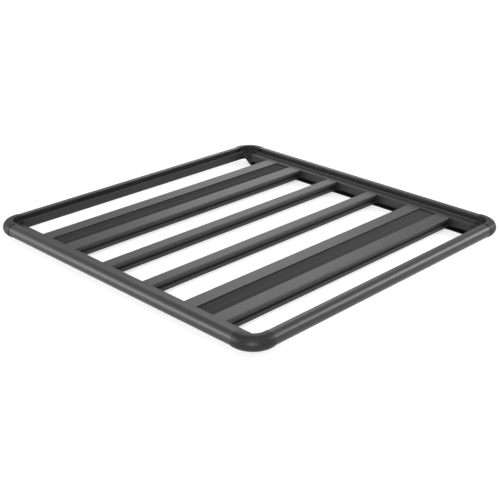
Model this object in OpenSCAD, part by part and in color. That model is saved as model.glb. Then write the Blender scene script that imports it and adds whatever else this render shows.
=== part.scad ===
// Flat platform roof rack: extruded perimeter rails with an inward T-slot, moulded
// corners, two side beams, two single planks and two wide planks with a ribbed channel.
// X runs along the planks, Y along the side rails, Z up. The beams rest on Z = 0.

/* [Overall size] */
// Width over the corner mouldings, along the planks
overall_x = 1200; // [900:5:1500]
// Length over the corner mouldings, along the side rails
overall_y = 1187; // [950:5:1600]

/* [Perimeter rail] */
// Width of the rail from its round nose to its inner wall
rail_w = 48; // [45:0.5:58]
// Height of the rail
rail_h = 43; // [41:0.5:50]
// Width of the raised crest, from the nose to the slot mouth
crest_w = 33; // [31:0.5:36]
// Wall thickness of the rail
rail_t = 2.2; // [1.6:0.1:2.6]
// Clear height of the slot mouth
slot_mouth = 9; // [8:0.5:10]
// Height from the lip below the slot up to the crest
crest_over_lip = 13.5; // [13:0.5:15]
// Height from the plank tops up to the crest
crest_over_deck = 20.6; // [18:0.1:24]
// Radius on the long edges of the rail
rail_edge_r = 1.2; // [0.6:0.1:1.6]

/* [Corner mouldings] */
// Outer radius of a corner in plan
corner_r = 75; // [66:1:76]
// Length of a corner along each rail
corner_leg = 84; // [80:1:110]
// How far the corner stands proud of the rails
corner_proud = 1.5; // [0.5:0.1:1.8]
// Wall thickness of the corner
corner_t = 3; // [2.5:0.1:4]
// Radius of the hollow inside corner
gusset_r = 20; // [14:1:22]

/* [Side beams] */
// Width of a side beam
beam_w = 24; // [22:0.5:30]
// Height of a side beam
beam_h = 44.5; // [42:0.5:50]
// Wall thickness of a side beam
beam_t = 2.2; // [1.8:0.1:3]
// Height of the foot channel in the beam's inner side
channel_mouth = 15; // [12:0.5:17]

/* [Planks] */
// Width of a single plank
plank_w = 44; // [40:1:50]
// Width of a wide plank
wide_w = 172; // [156:2:190]
// Height of all planks
plank_h = 33.5; // [31:0.5:36]
// Wall thickness of the planks
plank_t = 2; // [1.6:0.1:2.4]
// Clear height of a plank's side slot
side_mouth = 9; // [8:0.5:10]
// Distance of a single plank's centre line from the middle
single_y = 93; // [88:1:110]
// Distance of a wide plank's centre line from the middle
wide_y = 336.5; // [328:0.5:350]
// Width of the sunken channel of a wide plank
recess_w = 68; // [60:1:76]
// Depth of the sunken channel
recess_d = 5; // [4:0.5:7]

/* [Hidden] */
$fn = 28;
eps = 0.01;
fit = 0.3;
flange = 3;
head_h = 13;
head_d = 7;
notch_d = 12.6;
nose_r = rail_h / 2;
half_x = overall_x / 2 - corner_proud;
half_y = overall_y / 2 - corner_proud;
deck_z = beam_h;
rail_z = deck_z + crest_over_deck - rail_h;
lip_z = rail_h - crest_over_lip;
mouth_mid = lip_z + slot_mouth / 2;
cav_x0 = crest_w - flange - head_d;
seam_x = half_x - corner_leg;
seam_y = half_y - corner_leg;
rail_len_x = 2 * seam_x;
rail_len_y = 2 * seam_y;
beam_x0 = half_x - rail_w - beam_w;
plank_len = 2 * beam_x0;
spigot_len = 30;
toe_flat = 6;
spigot_x0 = nose_r - 1;
spigot_x1 = crest_w - 0.5;
spigot_h = mouth_mid - head_h / 2 - 2 * rail_t - 2 * fit;
side_lip = 2.5;
side_head_h = 13.5;
side_head_d = 6.5;
side_entry_d = 13;
edge_r = 4;
rib_d = 1.2;
rib_n = 9;
rib_pitch = (recess_w - 8) / rib_n;
metal = [0.16, 0.16, 0.17];
moulded = [0.10, 0.10, 0.11];

// Outside of the rail section, nose at x = 0, inner wall at x = rail_w
module rail_outline() {
  difference() {
    union() {
      translate([nose_r, nose_r])
        circle(r = nose_r);
      translate([nose_r, 0])
        square([rail_w - nose_r, rail_h]);
    }
    translate([crest_w, lip_z])
      square([rail_w, rail_h]);
    edge_bites(0);
  }
  edge_rounds(0);
}

// Squares taken off the three long edges, with the flat faces proud by extra
module edge_bites(extra) {
  translate([crest_w - rail_edge_r, rail_h + extra - rail_edge_r])
    square([rail_edge_r + 1, rail_edge_r + 1]);
  translate([rail_w - rail_edge_r, lip_z - rail_edge_r])
    square([rail_edge_r + 1, rail_edge_r + 1]);
  translate([rail_w - rail_edge_r, -extra - 1])
    square([rail_edge_r + 1, rail_edge_r + 1]);
}

// Rounds that fill those squares again
module edge_rounds(extra) {
  translate([crest_w - rail_edge_r, rail_h + extra - rail_edge_r])
    circle(r = rail_edge_r, $fn = 16);
  translate([rail_w - rail_edge_r, lip_z - rail_edge_r])
    circle(r = rail_edge_r, $fn = 16);
  translate([rail_w - rail_edge_r, rail_edge_r - extra])
    circle(r = rail_edge_r, $fn = 16);
}

// Hollow of the rail section, left clear of the slot's own walls
module rail_hollow() {
  difference() {
    union() {
      translate([nose_r, nose_r])
        circle(r = nose_r - rail_t);
      translate([nose_r, rail_t])
        square([rail_w - nose_r - rail_t, rail_h - 2 * rail_t]);
    }
    translate([cav_x0 - rail_t, mouth_mid - head_h / 2 - rail_t])
      square([rail_w, rail_h]);
  }
}

// Mouth and head room of the T-slot, opening toward +x
module rail_slot() {
  translate([cav_x0, mouth_mid - head_h / 2])
    square([head_d, head_h]);
  translate([cav_x0 + eps, lip_z])
    square([crest_w - cav_x0 + 1, slot_mouth]);
}

module rail_section() {
  difference() {
    rail_outline();
    rail_hollow();
    rail_slot();
  }
}

// A rail lying along y, nose toward -x at x = 0, with the bolt entry at mid-length
module rail(len) {
  difference() {
    rotate([90, 0, 0])
      translate([0, 0, -len / 2])
        linear_extrude(height = len)
          rail_section();
    translate([crest_w - flange - 1, 0, mouth_mid])
      rotate([0, 90, 0])
        cylinder(d = notch_d, h = flange + 2);
  }
}

module left_rail() {
  color(metal)
    translate([-half_x, 0, rail_z])
      rail(rail_len_y);
}

module right_rail() {
  color(metal)
    translate([half_x, 0, rail_z])
      rotate([0, 0, 180])
        rail(rail_len_y);
}

module front_rail() {
  color(metal)
    translate([0, -half_y, rail_z])
      rotate([0, 0, 90])
        rail(rail_len_x);
}

module rear_rail() {
  color(metal)
    translate([0, half_y, rail_z])
      rotate([0, 0, -90])
        rail(rail_len_x);
}

// Section of the corner moulding, x measured inward from the rail's nose
module corner_outline() {
  difference() {
    union() {
      translate([nose_r, nose_r])
        circle(r = nose_r + corner_proud);
      translate([nose_r, -corner_proud])
        square([rail_w - nose_r, rail_h + 2 * corner_proud]);
    }
    translate([crest_w, lip_z])
      square([rail_w, rail_h]);
    edge_bites(corner_proud);
  }
  edge_rounds(corner_proud);
}

module corner_hollow() {
  difference() {
    union() {
      translate([nose_r, nose_r])
        circle(r = nose_r + corner_proud - corner_t);
      translate([nose_r, corner_t - corner_proud])
        square([rail_w - nose_r - corner_t, rail_h + 2 * corner_proud - 2 * corner_t]);
    }
    translate([crest_w - corner_t, lip_z - corner_t])
      square([rail_w, rail_h]);
  }
}

// Quarter sweep of a 2D section round the corner's own centre
module corner_sweep() {
  rotate_extrude(angle = 90, $fn = 40)
    translate([corner_r, 0])
      mirror([1, 0])
        children();
}

// Short straight run of a 2D section from the arc toward the seam on the x side
module corner_stub(shorter) {
  rotate([90, 0, 0])
    linear_extrude(height = corner_leg - corner_r - shorter)
      translate([corner_r, 0])
        mirror([1, 0])
          children();
}

module corner_run(shorter) {
  corner_sweep()
    children();
  corner_stub(shorter)
    children();
  mirror([1, -1, 0])
    corner_stub(shorter)
      children();
}

// Inner gusset that takes the beam's end, top flush with the planks, with a toe that
// ramps down to the beam's foot
module gusset() {
  in_x = corner_r - rail_w - beam_w;
  in_y = corner_r - rail_w;
  end_y = corner_r - corner_leg;
  translate([in_x, 0, 0])
    rotate([90, 0, 90])
      linear_extrude(height = beam_w)
        polygon([[end_y, -rail_z], [end_y + toe_flat, -rail_z], [in_y, 0], [in_y, eps], [end_y, eps]]);
  difference() {
    translate([in_x - gusset_r, end_y, 0])
      cube([gusset_r + beam_w + corner_t, in_y - end_y + corner_t, deck_z - rail_z]);
    translate([in_x - gusset_r - 1, end_y - 1, -1])
      cube([gusset_r + 1, in_y - gusset_r - end_y + 1, rail_h]);
    translate([in_x - gusset_r, in_y - gusset_r, -1])
      cylinder(r = gusset_r, h = rail_h);
  }
}

// Plug that slides into the open end of a rail
module spigot() {
  translate([corner_r - spigot_x1, corner_r - corner_leg - spigot_len, rail_t + fit])
    cube([spigot_x1 - spigot_x0, spigot_len + corner_t, spigot_h]);
}

// One corner, its arc centre at the origin, pointing to +x +y
module corner_body() {
  difference() {
    corner_run(0)
      corner_outline();
    corner_run(corner_t)
      corner_hollow();
  }
  gusset();
  spigot();
  mirror([1, -1, 0])
    spigot();
}

module corner_placed() {
  color(moulded)
    translate([half_x - corner_r, half_y - corner_r, rail_z])
      corner_body();
}

module corner_rear_right() {
  corner_placed();
}

module corner_rear_left() {
  mirror([1, 0, 0])
    corner_placed();
}

module corner_front_right() {
  mirror([0, 1, 0])
    corner_placed();
}

module corner_front_left() {
  rotate([0, 0, 180])
    corner_placed();
}

// Section of a side beam, outer side at x = 0, inner side at x = beam_w
module beam_section() {
  mouth_z = beam_t;
  difference() {
    square([beam_w, beam_h]);
    translate([beam_t, mouth_z + channel_mouth + beam_t])
      square([beam_w - 2 * beam_t, beam_h - channel_mouth - 3 * beam_t]);
    translate([beam_t, mouth_z])
      square([beam_w, channel_mouth]);
  }
}

module side_beam() {
  rotate([90, 0, 0])
    translate([0, 0, -seam_y])
      linear_extrude(height = 2 * seam_y)
        beam_section();
}

module left_beam() {
  color(metal)
    translate([-half_x + rail_w, 0, 0])
      side_beam();
}

module right_beam() {
  color(metal)
    translate([half_x - rail_w, 0, 0])
      rotate([0, 0, 180])
        side_beam();
}

// One side T-slot of a plank, mouth at x = 0, reaching into +x
module side_slot() {
  translate([-1, plank_h / 2 - side_mouth / 2])
    square([side_lip + 2, side_mouth]);
  translate([side_lip, plank_h / 2 - side_head_h / 2])
    square([side_head_d, side_head_h]);
}

// Plank outline with softly rounded upper edges
module plank_outline(w) {
  difference() {
    square([w, plank_h]);
    translate([0, plank_h - edge_r])
      square([edge_r, edge_r + 1]);
    translate([w - edge_r, plank_h - edge_r])
      square([edge_r, edge_r + 1]);
  }
  translate([edge_r, plank_h - edge_r])
    circle(r = edge_r, $fn = 20);
  translate([w - edge_r, plank_h - edge_r])
    circle(r = edge_r, $fn = 20);
}

module single_section() {
  core = side_lip + side_head_d + plank_t;
  difference() {
    plank_outline(plank_w);
    side_slot();
    translate([plank_w, 0])
      mirror([1, 0])
        side_slot();
    translate([core, plank_t])
      square([plank_w - 2 * core, plank_h - 2 * plank_t]);
  }
}

module wide_section() {
  core = side_lip + side_head_d + plank_t;
  slat = (wide_w - recess_w) / 2;
  difference() {
    plank_outline(wide_w);
    side_slot();
    translate([wide_w, 0])
      mirror([1, 0])
        side_slot();
    translate([core, plank_t])
      square([slat - core - plank_t, plank_h - 2 * plank_t]);
    translate([wide_w - slat + plank_t, plank_t])
      square([slat - core - plank_t, plank_h - 2 * plank_t]);
    translate([slat, plank_h - recess_d])
      square([recess_w, recess_d + 1]);
    translate([slat + plank_t, plank_t])
      square([recess_w / 2 - 1.5 * plank_t, plank_h - recess_d - rib_d - 2 * plank_t]);
    translate([wide_w / 2 + plank_t / 2, plank_t])
      square([recess_w / 2 - 1.5 * plank_t, plank_h - recess_d - rib_d - 2 * plank_t]);
    for (i = [0 : rib_n - 1])
      translate([slat + 4 + (i + 0.25) * rib_pitch, plank_h - recess_d - rib_d])
        square([rib_pitch / 2, rib_d + 1]);
  }
}

// Extrude a section along x between the beams, section x becoming y
module plank_bar(w) {
  translate([-plank_len / 2, -w / 2, 0])
    rotate([90, 0, 90])
      linear_extrude(height = plank_len)
        children();
}

// Bolt entry cut through both side mouths at mid-length
module side_entries(w) {
  translate([0, -w / 2 - 1, plank_h / 2])
    rotate([-90, 0, 0])
      cylinder(d = side_entry_d, h = side_lip + 2);
  translate([0, w / 2 + 1, plank_h / 2])
    rotate([90, 0, 0])
      cylinder(d = side_entry_d, h = side_lip + 2);
}

module single_plank() {
  color(metal)
    difference() {
      plank_bar(plank_w)
        single_section();
      side_entries(plank_w);
    }
}

module wide_plank() {
  color(metal)
    difference() {
      plank_bar(wide_w)
        wide_section();
      side_entries(wide_w);
    }
}

module front_single_plank() {
  translate([0, -single_y, deck_z - plank_h])
    single_plank();
}

module rear_single_plank() {
  translate([0, single_y, deck_z - plank_h])
    single_plank();
}

module front_wide_plank() {
  translate([0, -wide_y, deck_z - plank_h])
    wide_plank();
}

module rear_wide_plank() {
  translate([0, wide_y, deck_z - plank_h])
    wide_plank();
}

front_rail();
rear_rail();
left_rail();
right_rail();
corner_front_left();
corner_front_right();
corner_rear_left();
corner_rear_right();
left_beam();
right_beam();
front_single_plank();
rear_single_plank();
front_wide_plank();
rear_wide_plank();
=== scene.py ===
# %% [markdown]
# # A flat platform roof rack in satin black
# The rack is a shallow tray of black aluminium that sits on a car's roof. Its shape
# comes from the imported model; this lesson gives it its finishes, its small fasteners and
# the ribbed tread of the wide planks, and sets a plain studio round it.

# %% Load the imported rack
import bmesh
import bpy
import numpy as np
from mathutils import Matrix, Vector


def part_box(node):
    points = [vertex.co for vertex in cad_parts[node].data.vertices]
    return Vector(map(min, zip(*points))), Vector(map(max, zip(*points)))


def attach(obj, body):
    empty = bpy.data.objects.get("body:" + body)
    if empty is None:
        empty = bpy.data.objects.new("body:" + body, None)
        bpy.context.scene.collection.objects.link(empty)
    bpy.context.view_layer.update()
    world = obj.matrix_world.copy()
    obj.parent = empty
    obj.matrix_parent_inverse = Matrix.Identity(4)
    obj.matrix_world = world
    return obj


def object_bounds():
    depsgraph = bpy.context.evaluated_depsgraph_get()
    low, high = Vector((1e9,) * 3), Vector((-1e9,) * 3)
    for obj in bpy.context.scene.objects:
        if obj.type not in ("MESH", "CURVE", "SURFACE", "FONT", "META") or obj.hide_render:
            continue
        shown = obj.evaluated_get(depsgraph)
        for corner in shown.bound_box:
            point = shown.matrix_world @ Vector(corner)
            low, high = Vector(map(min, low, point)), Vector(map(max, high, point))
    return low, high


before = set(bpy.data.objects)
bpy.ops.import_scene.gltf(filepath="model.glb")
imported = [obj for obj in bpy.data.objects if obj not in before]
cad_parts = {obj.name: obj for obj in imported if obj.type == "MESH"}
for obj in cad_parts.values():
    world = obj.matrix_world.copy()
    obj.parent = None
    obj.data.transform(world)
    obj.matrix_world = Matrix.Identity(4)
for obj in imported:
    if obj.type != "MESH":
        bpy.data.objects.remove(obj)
CAD_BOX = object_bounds()
MM = 0.001
print("nodes:", len(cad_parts))
print("box (m):", [round(v, 4) for v in (*CAD_BOX[0], *CAD_BOX[1])])

# %% [markdown]
# ## Sizes read from the frame
# Nothing here is measured twice. The height of the deck, the ends of the planks and the
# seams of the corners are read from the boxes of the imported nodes, so the pieces made
# below stay in place if the rack is packed again at another size.

# %% Read the driving sizes
rail_lo, rail_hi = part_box("left_rail")
beam_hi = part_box("left_beam")[1]
DECK_Z = beam_hi.z
PLANK_END_X = abs(beam_hi.x)
SEAM_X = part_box("front_rail")[1].x
SEAM_Y = rail_hi.y
RAIL_BOTTOM_Z = rail_lo.z
RAIL_FAR_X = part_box("right_rail")[1].x
print(f"deck {DECK_Z:.4f}, crest {rail_hi.z:.4f}, planks reach to x = {PLANK_END_X:.4f} m")

# %% [markdown]
# ## The camera
# A product photograph is usually taken with a long lens from well back, which keeps the
# parallel members nearly parallel. The three directions of this camera were worked out
# from the vanishing points of the planks and the rails, and its place from where the
# deck's edges lie in the picture. The rack fills the middle, so the lens needs no shift.

# %% Place the camera
SENSOR_MM = 36.0
PICTURE_PX = 500.0
FOCAL_PX = 993.842
FAR_CLIP = 60.0
CAMERA_OVER_DECK = 1.25472
CAMERA_AT = Vector((-2.17711, -2.10527, DECK_Z + CAMERA_OVER_DECK))
LOOK_RIGHT = Vector((0.698046, -0.716008, 0.007944))
LOOK_DOWN = Vector((-0.285336, -0.288320, -0.914032))
LOOK_AHEAD = Vector((0.656745, 0.635770, -0.405564))


def make_camera():
    """The camera's columns are right, up and back, each the direction seen in the photograph."""
    lens = bpy.data.cameras.new("long_lens")
    lens.sensor_width = SENSOR_MM
    lens.lens = FOCAL_PX / PICTURE_PX * SENSOR_MM
    lens.clip_end = FAR_CLIP
    camera = bpy.data.objects.new("camera", lens)
    bpy.context.scene.collection.objects.link(camera)
    turn = Matrix((LOOK_RIGHT, -LOOK_DOWN, -LOOK_AHEAD)).transposed()
    camera.matrix_world = Matrix.Translation(CAMERA_AT) @ turn.to_4x4()
    bpy.context.scene.camera = camera
    return camera


camera = make_camera()
print("lens (mm):", round(camera.data.lens, 2))

# %% [markdown]
# ## Mesh helpers
# Every piece that is added is a surface worked out on a grid of two parameters. One
# helper joins the neighbours on such a grid with four-sided faces, and the other makes a
# mesh of points and faces. Both work on whole arrays, so no vertex is touched one by one.


# %% Turn arrays into meshes
def mesh_object(name, points, faces, smooth=True):
    """An object whose mesh holds the points (n by 3, in metres) and the faces, at the origin."""
    mesh = bpy.data.meshes.new(name)
    mesh.from_pydata(points.tolist(), [], faces)
    mesh.polygons.foreach_set("use_smooth", np.full(len(mesh.polygons), smooth))
    mesh.validate()
    mesh.update()
    made = bpy.data.objects.new(name, mesh)
    bpy.context.scene.collection.objects.link(made)
    return made


def grid_faces(rows, columns, wrap):
    """Quads between neighbours on a grid; with wrap the last column joins the first."""
    last = columns if wrap else columns - 1
    i, j = np.meshgrid(np.arange(rows - 1), np.arange(last), indexing="ij")
    here = i * columns + j
    right = i * columns + (j + 1) % columns
    quads = np.stack([here, right, right + columns, here + columns], axis=-1)
    return quads.reshape(-1, 4)


# %% [markdown]
# ## The powder coat
# The rails, beams and planks are extruded aluminium under one coat of black powder. The
# powder melts into a skin with a very fine orange peel, a soft sheen and hardly any
# colour, and faint draw lines of the die run along each length below it. The sheen comes
# from the shader's roughness, the peel and the draw lines from bump. The greys and the
# roughness wander a little with the lines and with a soft cloud, as a baked coat's do.


# %% Small helpers for node trees
def blank_material(name):
    """A new material, with its nodes, its links and its Principled shader."""
    material = bpy.data.materials.new(name)
    material.use_nodes = True
    tree = material.node_tree
    return material, tree.nodes, tree.links, tree.nodes["Principled BSDF"]


def add(nodes, kind, **values):
    """A shader node of that kind, with the named attributes and sockets set."""
    node = nodes.new(kind)
    for key, value in values.items():
        if hasattr(node, key):
            setattr(node, key, value)
        else:
            node.inputs[key.replace("_", " ")].default_value = value
    return node


def shades(nodes, links, source, low, high, start=0.3, end=0.7):
    """A colour ramp from one grey to another, over the middle of the source's range."""
    ramp = nodes.new("ShaderNodeValToRGB")
    ramp.color_ramp.elements[0].position = start
    ramp.color_ramp.elements[1].position = end
    ramp.color_ramp.elements[0].color = (*low, 1.0)
    ramp.color_ramp.elements[1].color = (*high, 1.0)
    links.new(source, ramp.inputs["Fac"])
    return ramp.outputs["Color"]


def spread(nodes, links, source, low, high):
    """The source's 0 to 1 spread over the range low to high."""
    node = nodes.new("ShaderNodeMapRange")
    node.inputs["To Min"].default_value = low
    node.inputs["To Max"].default_value = high
    links.new(source, node.inputs["Value"])
    return node.outputs["Result"]


# %% Build the powder coat
LINE_SCALE, CLOUD_SCALE, PEEL_SCALE = 190.0, 9.0, 1500.0
LINE_STRETCH = 0.012
CLOUD_SHARE = 0.45
LINE_BUMP, LINE_DEPTH = 0.30, 0.0006
PEEL_BUMP, PEEL_DEPTH = 0.12, 0.0004
COAT_SHINE = 0.36


def satin_coat(name, along, dark, light, gloss_low, gloss_high, shine=COAT_SHINE):
    """A satin skin on an extrusion that runs along axis 0 (x) or 1 (y)."""
    material, nodes, links, shader = blank_material(name)
    shader.inputs["Specular IOR Level"].default_value = shine
    place = nodes.new("ShaderNodeTexCoord")
    stretch = nodes.new("ShaderNodeMapping")
    squeeze = [LINE_STRETCH if axis == along else 1.0 for axis in range(3)]
    stretch.inputs["Scale"].default_value = squeeze
    links.new(place.outputs["Object"], stretch.inputs["Vector"])
    drawn = add(nodes, "ShaderNodeTexNoise", Scale=LINE_SCALE, Detail=5.0, Roughness=0.7)
    links.new(stretch.outputs["Vector"], drawn.inputs["Vector"])
    cloudy = add(nodes, "ShaderNodeTexNoise", Scale=CLOUD_SCALE, Detail=3.0, Roughness=0.5)
    links.new(place.outputs["Object"], cloudy.inputs["Vector"])
    grain = add(nodes, "ShaderNodeTexNoise", Scale=PEEL_SCALE, Detail=3.0, Roughness=0.6)
    links.new(place.outputs["Object"], grain.inputs["Vector"])
    # Of a Mix node's sockets, 2 and 3 are the two plain numbers that it blends.
    both = nodes.new("ShaderNodeMix")
    both.inputs["Factor"].default_value = CLOUD_SHARE
    links.new(drawn.outputs["Fac"], both.inputs[2])
    links.new(cloudy.outputs["Fac"], both.inputs[3])
    colour = shades(nodes, links, both.outputs[0], dark, light)
    links.new(colour, shader.inputs["Base Color"])
    gloss = spread(nodes, links, both.outputs[0], gloss_low, gloss_high)
    links.new(gloss, shader.inputs["Roughness"])
    lines = add(nodes, "ShaderNodeBump", Strength=LINE_BUMP, Distance=LINE_DEPTH)
    links.new(drawn.outputs["Fac"], lines.inputs["Height"])
    skin = add(nodes, "ShaderNodeBump", Strength=PEEL_BUMP, Distance=PEEL_DEPTH)
    links.new(grain.outputs["Fac"], skin.inputs["Height"])
    links.new(lines.outputs["Normal"], skin.inputs["Normal"])
    links.new(skin.outputs["Normal"], shader.inputs["Normal"])
    return material


# %% Mix the coats
RAIL_DARK, RAIL_LIGHT = (0.0125, 0.0120, 0.0118), (0.0185, 0.0180, 0.0177)
PLANK_DARK, PLANK_LIGHT = (0.0130, 0.0124, 0.0121), (0.0195, 0.0188, 0.0184)
TREAD_DARK, TREAD_LIGHT = (0.0095, 0.0090, 0.0088), (0.0150, 0.0144, 0.0141)
TREAD_SHINE = 0.25
coats = {
    ("rail", 0): satin_coat("rail_coat_across", 0, RAIL_DARK, RAIL_LIGHT, 0.34, 0.42),
    ("rail", 1): satin_coat("rail_coat_lengthwise", 1, RAIL_DARK, RAIL_LIGHT, 0.38, 0.46),
    ("beam", 1): satin_coat("beam_coat", 1, RAIL_DARK, RAIL_LIGHT, 0.38, 0.48),
    ("plank", 0): satin_coat("plank_coat", 0, PLANK_DARK, PLANK_LIGHT, 0.38, 0.46),
    ("tread", 0): satin_coat("tread_coat", 0, TREAD_DARK, TREAD_LIGHT, 0.55, 0.66, TREAD_SHINE),
}
print("coats:", sorted(m.name for m in coats.values()))

# %% [markdown]
# ## The moulded corners
# The corners are injection-moulded in black nylon, or cast and painted to look so. They
# are blacker than the rails and carry the fine spark-eroded grain of the tool, which
# spreads the light into one soft glow at the middle of the bend.

# %% Build the moulded finish
CORNER_DARK, CORNER_LIGHT = (0.0080, 0.0079, 0.0081), (0.0125, 0.0123, 0.0126)
CORNER_SHINE = 0.22


def moulded_black(name):
    """A near-black plastic with an even, fine grain."""
    material, nodes, links, shader = blank_material(name)
    shader.inputs["Specular IOR Level"].default_value = CORNER_SHINE
    place = nodes.new("ShaderNodeTexCoord")
    grain = add(nodes, "ShaderNodeTexVoronoi", Scale=1300.0)
    links.new(place.outputs["Object"], grain.inputs["Vector"])
    cloudy = add(nodes, "ShaderNodeTexNoise", Scale=24.0, Detail=4.0)
    links.new(place.outputs["Object"], cloudy.inputs["Vector"])
    colour = shades(nodes, links, cloudy.outputs["Fac"], CORNER_DARK, CORNER_LIGHT)
    links.new(colour, shader.inputs["Base Color"])
    gloss = spread(nodes, links, cloudy.outputs["Fac"], 0.38, 0.48)
    links.new(gloss, shader.inputs["Roughness"])
    skin = add(nodes, "ShaderNodeBump", Strength=0.22, Distance=0.0003)
    links.new(grain.outputs["Distance"], skin.inputs["Height"])
    links.new(skin.outputs["Normal"], shader.inputs["Normal"])
    return material


corner_black = moulded_black("corner_nylon")
print("corner finish:", corner_black.name)

# %% [markdown]
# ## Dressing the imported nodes
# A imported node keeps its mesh. Only the material in its slots is changed, and which one
# it gets follows from its name: a rail that runs front to back takes the lengthwise
# coat, the other two the one that runs across.


# %% Give each node its finish
def finish_of(node):
    """The material that suits a node's name."""
    if "corner" in node:
        return corner_black
    if "plank" in node:
        return coats["plank", 0]
    if "beam" in node:
        return coats["beam", 1]
    return coats["rail", 1 if node in ("left_rail", "right_rail") else 0]


for node_name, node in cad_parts.items():
    if not node.material_slots:
        node.data.materials.append(None)
    for material_slot in node.material_slots:
        material_slot.material = finish_of(node_name)
print("dressed:", len(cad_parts), "nodes")

# %% [markdown]
# ## The ribbed tread
# The sunken channel of a wide plank is not smooth: its floor carries fine ribs along the
# plank, with a plain groove down the middle, so that a boot or a bag does not slide. The
# ribs could be bump, but they change how much light the floor sends on even from far
# off: at this steepness each rib hides the back of the next. So they are a true surface,
# one wave across the channel, carried from beam to beam.

# %% Size the tread
TREAD_WIDTH = 67.4 * MM
TREAD_SINK = 4.95 * MM
TREAD_SHEET = 0.35 * MM
END_GAP = 0.4 * MM
RIB_PITCH = 3.9 * MM
RIB_HEIGHT = 1.5 * MM
RIB_SHARPNESS = 0.97
GROOVE_HALF = 2.6 * MM
SHOULDER = 1.5 * MM
BEAD_WIDTH = 2.5 * SHOULDER
BEAD_SHARE = 0.45
SAMPLES_PER_RIB = 12


# %% Make the tread
def tread_height(y):
    """Ribs: a triangle wave with rounded tips. The groove is flat, with a low bead beside it."""
    wave = 0.5 + np.arcsin(RIB_SHARPNESS * np.sin(2 * np.pi * y / RIB_PITCH)) / np.pi
    past_groove = np.abs(y) - GROOVE_HALF
    outside = np.clip(past_groove / SHOULDER, 0, 1)
    bead = np.sin(np.pi * np.clip(past_groove / BEAD_WIDTH, 0, 1))
    return RIB_HEIGHT * (wave * outside + BEAD_SHARE * bead)


def make_tread(name, plank):
    """A closed ribbed strip on the channel's floor: the ribbed top, two ends and a flat back."""
    low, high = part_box(plank)
    middle = (low.y + high.y) / 2
    floor = DECK_Z - TREAD_SINK
    count = int(TREAD_WIDTH / RIB_PITCH) * SAMPLES_PER_RIB + 1
    y = np.linspace(-TREAD_WIDTH / 2, TREAD_WIDTH / 2, count)
    loop_y = np.concatenate([y, [TREAD_WIDTH / 2, -TREAD_WIDTH / 2]])
    loop_z = np.concatenate([tread_height(y), [-TREAD_SHEET, -TREAD_SHEET]])
    ends = np.array([-PLANK_END_X + END_GAP, PLANK_END_X - END_GAP])
    x = np.repeat(ends, len(loop_y))
    points = np.stack([x, np.tile(loop_y + middle, 2), np.tile(loop_z + floor, 2)], axis=1)
    sides = grid_faces(2, len(loop_y), wrap=True)[:, ::-1].tolist()
    near_end = list(range(len(loop_y)))
    far_end = [len(loop_y) + i for i in reversed(near_end)]
    tread = mesh_object(name, points, sides + [near_end, far_end], smooth=False)
    tread.data.materials.append(coats["tread", 0])
    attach(tread, "root")
    return tread


treads = [make_tread(f"{end}_tread", f"{end}_wide_plank") for end in ("front", "rear")]
print("treads:", [(t.name, len(t.data.polygons)) for t in treads])

# %% [markdown]
# ## The corner screws
# From below, each leg of a corner is held to its rail by two button-head screws. A button
# head is a low dome with a hex socket. It could be cut with a boolean, but a profile
# turned about the screw's axis is lighter: the dome, its lip and the socket are one
# profile, and only the socket's rings are drawn in to six flats.

# %% Size the screws
HEAD_RADIUS = 5.2 * MM
HEAD_RISE = 2.6 * MM
LIP_SHARE = 0.25
DOME_START = 0.42
DOME_STEPS = 9
SOCKET_RADIUS = 2.4 * MM
SOCKET_FLARE = 1.04
SOCKET_DEPTH = 1.8 * MM
SOCKET_RINGS = 3
SCREW_INSET = 36 * MM
SCREW_ALONG = (12 * MM, 32 * MM)
TURNS = 48
MERGE_DIST, SLIVER = 1e-6, 1e-7


# %% Turn one screw head
def head_profile():
    """Radius and height of the head, from the socket's centre out over the dome to its foot."""
    angle = np.linspace(DOME_START, np.pi / 2, DOME_STEPS)
    dome_r = HEAD_RADIUS * np.sin(angle)
    dome_share = (1 - LIP_SHARE) * np.cos(angle) / np.cos(angle[0])
    dome_z = HEAD_RISE * (LIP_SHARE + dome_share)
    socket_z = dome_z[0] - SOCKET_DEPTH
    socket_r = [0.0, SOCKET_RADIUS, SOCKET_RADIUS * SOCKET_FLARE]
    radius = np.concatenate([socket_r, dome_r[1:], [HEAD_RADIUS, 0.0]])
    height = np.concatenate([[socket_z, socket_z, dome_z[0]], dome_z[1:], [0.0, 0.0]])
    return radius, height


def screw_points(centre):
    """The profile turned about z, head down; the socket's rings are pulled in to a hexagon."""
    radius, height = head_profile()
    turn = np.linspace(0, 2 * np.pi, TURNS, endpoint=False)
    hexagon = np.cos(np.pi / 6) / np.cos((turn + np.pi / 6) % (np.pi / 3) - np.pi / 6)
    in_socket = np.arange(len(radius))[:, None] < SOCKET_RINGS
    r = radius[:, None] * np.where(in_socket, hexagon, 1.0)
    x = centre[0] + r * np.cos(turn)
    y = centre[1] + r * np.sin(turn)
    z = np.broadcast_to(centre[2] - height[:, None], r.shape)
    return np.stack([x, y, z], axis=-1).reshape(-1, 3)


def tidy_mesh(piece):
    """Merge the doubled points at the poles and turn every face outward."""
    work = bmesh.new()
    work.from_mesh(piece.data)
    bmesh.ops.remove_doubles(work, verts=work.verts, dist=MERGE_DIST)
    bmesh.ops.dissolve_degenerate(work, edges=work.edges, dist=SLIVER)
    bmesh.ops.recalc_face_normals(work, faces=work.faces)
    work.to_mesh(piece.data)
    work.free()


def make_screws(name, centres, material):
    """Several heads in one mesh, all facing down."""
    rows = len(head_profile()[0])
    one = grid_faces(rows, TURNS, wrap=True)
    points = np.concatenate([screw_points(c) for c in centres])
    faces = np.concatenate([one + k * rows * TURNS for k in range(len(centres))])
    screws = mesh_object(name, points, faces.tolist())
    tidy_mesh(screws)
    screws.data.materials.append(material)
    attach(screws, "root")
    return screws


print("rings in a head:", len(head_profile()[0]))

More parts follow.
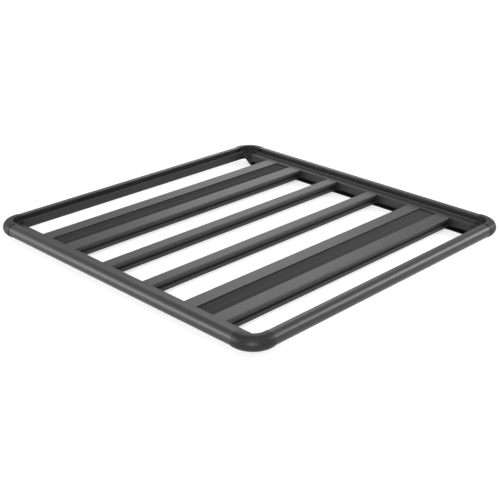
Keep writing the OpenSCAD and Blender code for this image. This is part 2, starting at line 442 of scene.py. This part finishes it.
# %% Blacken the screws
OXIDE_DARK, OXIDE_LIGHT = (0.035, 0.035, 0.038), (0.06, 0.06, 0.063)


def blackened_steel(name):
    """Steel under a black oxide: metallic, dark, a little rougher in patches."""
    material, nodes, links, shader = blank_material(name)
    shader.inputs["Metallic"].default_value = 0.85
    place = nodes.new("ShaderNodeTexCoord")
    patches = add(nodes, "ShaderNodeTexNoise", Scale=600.0, Detail=3.0)
    links.new(place.outputs["Object"], patches.inputs["Vector"])
    colour = shades(nodes, links, patches.outputs["Fac"], OXIDE_DARK, OXIDE_LIGHT)
    links.new(colour, shader.inputs["Base Color"])
    gloss = spread(nodes, links, patches.outputs["Fac"], 0.3, 0.45)
    links.new(gloss, shader.inputs["Roughness"])
    return material


screw_black = blackened_steel("screw_oxide")
print("screw finish:", screw_black.name)


# %% Place the screws under each corner
def corner_centres(side_x, side_y):
    """Two screws under each leg, on past the seam and set in from the rack's outer side."""
    half_x = CAD_BOX[1].x
    half_y = CAD_BOX[1].y
    proud = half_x - RAIL_FAR_X
    z = RAIL_BOTTOM_Z - proud
    on_x = [(side_x * (SEAM_X + a), side_y * (half_y - SCREW_INSET), z) for a in SCREW_ALONG]
    on_y = [(side_x * (half_x - SCREW_INSET), side_y * (SEAM_Y + a), z) for a in SCREW_ALONG]
    return on_x + on_y


for end, side_y in (("front", -1), ("rear", 1)):
    for hand, side_x in (("left", -1), ("right", 1)):
        centres = corner_centres(side_x, side_y)
        make_screws(f"corner_screws_{end}_{hand}", centres, screw_black)
print("screws under each corner:", len(centres))

# %% [markdown]
# ## The studio
# The rack stands on a plain white floor. The floor is a real surface, so it takes the
# rack's soft shadow, and it also glows a little for the camera and for reflections, so
# that it reads as white without pouring more light on the black metal.

# %% Lay the floor
FLOOR_HALF = 14.0
FLOOR_GAP = 0.2 * MM
FLOOR_GLOW = 0.58
FLOOR_WHITE = 0.60


def seen_directly(nodes, links):
    """1 for rays from the camera, from reflections and through glass, 0 for other light."""
    path = nodes.new("ShaderNodeLightPath")
    first = add(nodes, "ShaderNodeMath", operation="ADD", use_clamp=True)
    links.new(path.outputs["Is Camera Ray"], first.inputs[0])
    links.new(path.outputs["Is Glossy Ray"], first.inputs[1])
    second = add(nodes, "ShaderNodeMath", operation="ADD", use_clamp=True)
    links.new(first.outputs[0], second.inputs[0])
    links.new(path.outputs["Is Transmission Ray"], second.inputs[1])
    return second.outputs[0]


def white_floor():
    """White matt paint plus a glow that only direct and mirrored rays see."""
    material, nodes, links, shader = blank_material("studio_floor")
    shader.inputs["Base Color"].default_value = (FLOOR_WHITE, FLOOR_WHITE, FLOOR_WHITE, 1.0)
    shader.inputs["Roughness"].default_value = 0.95
    shader.inputs["Specular IOR Level"].default_value = 0.0
    glow = nodes.new("ShaderNodeEmission")
    strength = add(nodes, "ShaderNodeMath", operation="MULTIPLY")
    strength.inputs[1].default_value = FLOOR_GLOW
    links.new(seen_directly(nodes, links), strength.inputs[0])
    links.new(strength.outputs[0], glow.inputs["Strength"])
    total = nodes.new("ShaderNodeAddShader")
    links.new(shader.outputs[0], total.inputs[0])
    links.new(glow.outputs[0], total.inputs[1])
    links.new(total.outputs[0], nodes["Material Output"].inputs["Surface"])
    return material


def make_floor():
    """One square under the rack, a hair below the beams' feet."""
    side = np.array([-FLOOR_HALF, FLOOR_HALF])
    x, y = np.meshgrid(side, side)
    z = np.full(4, CAD_BOX[0].z - FLOOR_GAP)
    points = np.stack([x.ravel(), y.ravel(), z], axis=1)
    floor = mesh_object("floor", points, [[0, 1, 3, 2]], smooth=False)
    floor.data.materials.append(white_floor())


make_floor()
print("floor (m):", 2 * FLOOR_HALF, "across")

# %% [markdown]
# ## The light
# Black satin shows its lamps more than its colour. The photograph has one soft glow along
# the side rail's nose, one along the front rail's nose, an upright one on the near corner,
# and tops that mirror a pale wall behind. Each glow gives away where its lamp stood: turn
# the line of sight about the surface's normal. So there is an even white surround, with a
# softbox low on the left, one on the right, a strip beside the camera, one behind for the
# tops and a last one overhead for the shadow. The camera itself sees none of the lamps.

# %% Set the surround
SURROUND = 0.40


def make_world():
    """White to the camera and to mirrors, dimmer as a light."""
    world = bpy.data.worlds.new("white_room")
    bpy.context.scene.world = world
    world.use_nodes = True
    nodes, links = world.node_tree.nodes, world.node_tree.links
    background = nodes["Background"]
    background.inputs["Color"].default_value = (1.0, 1.0, 1.0, 1.0)
    level = spread(nodes, links, seen_directly(nodes, links), SURROUND, 1.0)
    links.new(level, background.inputs["Strength"])


make_world()
print("surround as a light:", SURROUND)

# %% Hang the softboxes
LIGHT_REACH = 6.0


def softbox(name, direction, wide, tall, glow):
    """A soft rectangle facing the rack: its watts are glow times pi times its area."""
    lamp = bpy.data.lights.new(name, "AREA")
    lamp.shape = "RECTANGLE"
    lamp.size = wide
    lamp.size_y = tall
    lamp.energy = glow * np.pi * wide * tall
    holder = bpy.data.objects.new(name, lamp)
    holder.visible_camera = False
    bpy.context.scene.collection.objects.link(holder)
    away = Vector(direction).normalized()
    holder.location = away * LIGHT_REACH
    holder.rotation_euler = away.to_track_quat("Z", "Y").to_euler()


softbox("left_softbox", (-0.78, 0.57, 0.26), 3.0, 3.0, 11.0)
softbox("right_softbox", (0.706, -0.548, 0.453), 3.4, 1.6, 12.5)
softbox("back_softbox", (0.66, 0.61, 0.44), 2.0, 3.0, 1.9)
softbox("front_strip", (-0.68, -0.64, 0.24), 0.9, 2.6, 36.0)
softbox("top_softbox", (-0.25, -0.30, 0.95), 3.4, 3.4, 2.2)
print("softboxes:", sorted(lamp.name for lamp in bpy.data.lights))

# %% [markdown]
# ## A dark card behind the rack
# The far rails fall away from the camera, and at that low angle even a dull coat mirrors
# whatever stands low behind it. With white there, the far edge would melt into the
# background. A photographer stands a dark card out of sight behind the product for this.
# It is one strip bent along an arc, a stage piece that the camera itself doesn't see.

# %% Stand the card
CARD_RADIUS = 7.0
CARD_HEIGHT = 1.45
CARD_STEPS = 37
CARD_GREY = 0.06


def make_card():
    """An upright strip: a quarter of a circle about the rack, from the floor up."""
    arc = np.radians(np.linspace(0, 90, CARD_STEPS))
    turn, height = np.meshgrid(arc, [0.0, CARD_HEIGHT])
    points = np.stack([CARD_RADIUS * np.cos(turn), CARD_RADIUS * np.sin(turn), height], axis=-1)
    faces = grid_faces(2, CARD_STEPS, wrap=False).tolist()
    card = mesh_object("dark_card", points.reshape(-1, 3), faces)
    material, _, _, shader = blank_material("dark_card")
    shader.inputs["Base Color"].default_value = (CARD_GREY, CARD_GREY, CARD_GREY, 1.0)
    shader.inputs["Roughness"].default_value = 0.9
    card.data.materials.append(material)
    card.visible_camera = False


make_card()
print("card (m):", CARD_RADIUS, "away,", CARD_HEIGHT, "high")

# %% [markdown]
# ## The colours
# The colours are shown plainly.

# %% Show the colours plainly
bpy.context.scene.view_settings.view_transform = "Standard"
